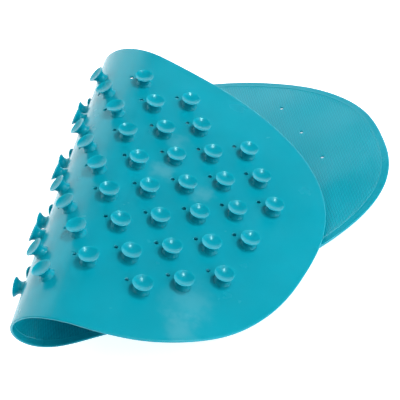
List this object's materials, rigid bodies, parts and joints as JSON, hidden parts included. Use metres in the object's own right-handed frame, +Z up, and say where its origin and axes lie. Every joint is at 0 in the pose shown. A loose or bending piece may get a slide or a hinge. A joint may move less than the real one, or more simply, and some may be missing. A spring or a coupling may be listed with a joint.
{
  "type": "suction cup bath mat",
  "caption": "Folded rubber non-slip bath mat: rounded sheet with suction cups and drain holes underneath; the folded-over flap lifts and unrolls flat.",
  "frame": {"origin": "on the floor, under the middle of the folded mat's bounding box", "axes": "+Z up from the floor; +Y along the straight lines of the fold, away from the near edge; +X from the fold towards the free end of the lower leaf"},
  "size_m": [0.3421, 0.4425, 0.1072],
  "materials": {
    "sheet_rubber": "smooth gloss underneath, fine woven-like grain on top",
    "cup_rubber": "gloss"
  },
  "bodies": {
    "lower_leaf": {"lower_leaf_sheet": "sheet_rubber", "lower_leaf_cups": "cup_rubber"},
    "fold_01": {"fold_01_sheet": "sheet_rubber", "fold_01_cups": "cup_rubber"},
    "fold_02": {"fold_02_sheet": "sheet_rubber", "fold_02_cups": "cup_rubber"},
    "fold_03": {"fold_03_sheet": "sheet_rubber", "fold_03_cups": "cup_rubber"},
    "fold_04": {"fold_04_sheet": "sheet_rubber", "fold_04_cups": "cup_rubber"},
    "fold_05": {"fold_05_sheet": "sheet_rubber", "fold_05_cups": "cup_rubber"},
    "fold_06": {"fold_06_sheet": "sheet_rubber", "fold_06_cups": "cup_rubber"},
    "fold_07": {"fold_07_sheet": "sheet_rubber", "fold_07_cups": "cup_rubber"},
    "fold_08": {"fold_08_sheet": "sheet_rubber", "fold_08_cups": "cup_rubber"},
    "fold_09": {"fold_09_sheet": "sheet_rubber", "fold_09_cups": "cup_rubber"},
    "fold_10": {"fold_10_sheet": "sheet_rubber", "fold_10_cups": "cup_rubber"},
    "flap": {"flap_sheet": "sheet_rubber", "flap_cups": "cup_rubber"}
  },
  "joints": [
    {"name": "bend_01", "type": "hinge", "parent": "lower_leaf", "child": "fold_01", "pos_m": [-0.1076, 0.028, 0.0104], "axis": [0, -1, 0], "range_deg": [0, 4]},
    {"name": "bend_02", "type": "hinge", "parent": "fold_01", "child": "fold_02", "pos_m": [-0.12542, 0.028, 0.01165], "axis": [0, -1, 0], "range_deg": [0, 15.55]},
    {"name": "bend_03", "type": "hinge", "parent": "fold_02", "child": "fold_03", "pos_m": [-0.14245, 0.028, 0.01768], "axis": [0, -1, 0], "range_deg": [0, 26.55]},
    {"name": "bend_04", "type": "hinge", "parent": "fold_03", "child": "fold_04", "pos_m": [-0.15504, 0.028, 0.03072], "axis": [0, -1, 0], "range_deg": [0, 29.05]},
    {"name": "bend_05", "type": "hinge", "parent": "fold_04", "child": "fold_05", "pos_m": [-0.15973, 0.028, 0.04821], "axis": [0, -1, 0], "range_deg": [0, 26.05]},
    {"name": "bend_06", "type": "hinge", "parent": "fold_05", "child": "fold_06", "pos_m": [-0.15628, 0.028, 0.06596], "axis": [0, -1, 0], "range_deg": [0, 22.55]},
    {"name": "bend_07", "type": "hinge", "parent": "fold_06", "child": "fold_07", "pos_m": [-0.14632, 0.028, 0.08101], "axis": [0, -1, 0], "range_deg": [0, 21.05]},
    {"name": "bend_08", "type": "hinge", "parent": "fold_07", "child": "fold_08", "pos_m": [-0.13163, 0.028, 0.09149], "axis": [0, -1, 0], "range_deg": [0, 20.55]},
    {"name": "bend_09", "type": "hinge", "parent": "fold_08", "child": "fold_09", "pos_m": [-0.11421, 0.028, 0.09616], "axis": [0, -1, 0], "range_deg": [0, 17.05]},
    {"name": "bend_10", "type": "hinge", "parent": "fold_09", "child": "fold_10", "pos_m": [-0.09626, 0.028, 0.09553], "axis": [0, -1, 0], "range_deg": [0, 13.05]},
    {"name": "bend_11", "type": "hinge", "parent": "fold_10", "child": "flap", "pos_m": [-0.07895, 0.028, 0.09089], "axis": [0, -1, 0], "range_deg": [0, 6.05]}
  ],
  "couplings": [
    {"joint": "bend_02", "follows": "bend_01", "ratio": 3.875},
    {"joint": "bend_03", "follows": "bend_01", "ratio": 6.625},
    {"joint": "bend_04", "follows": "bend_01", "ratio": 7.25},
    {"joint": "bend_05", "follows": "bend_01", "ratio": 6.5},
    {"joint": "bend_06", "follows": "bend_01", "ratio": 5.625},
    {"joint": "bend_07", "follows": "bend_01", "ratio": 5.25},
    {"joint": "bend_08", "follows": "bend_01", "ratio": 5.125},
    {"joint": "bend_09", "follows": "bend_01", "ratio": 4.25},
    {"joint": "bend_10", "follows": "bend_01", "ratio": 3.25},
    {"joint": "bend_11", "follows": "bend_01", "ratio": 1.5}
  ]
}
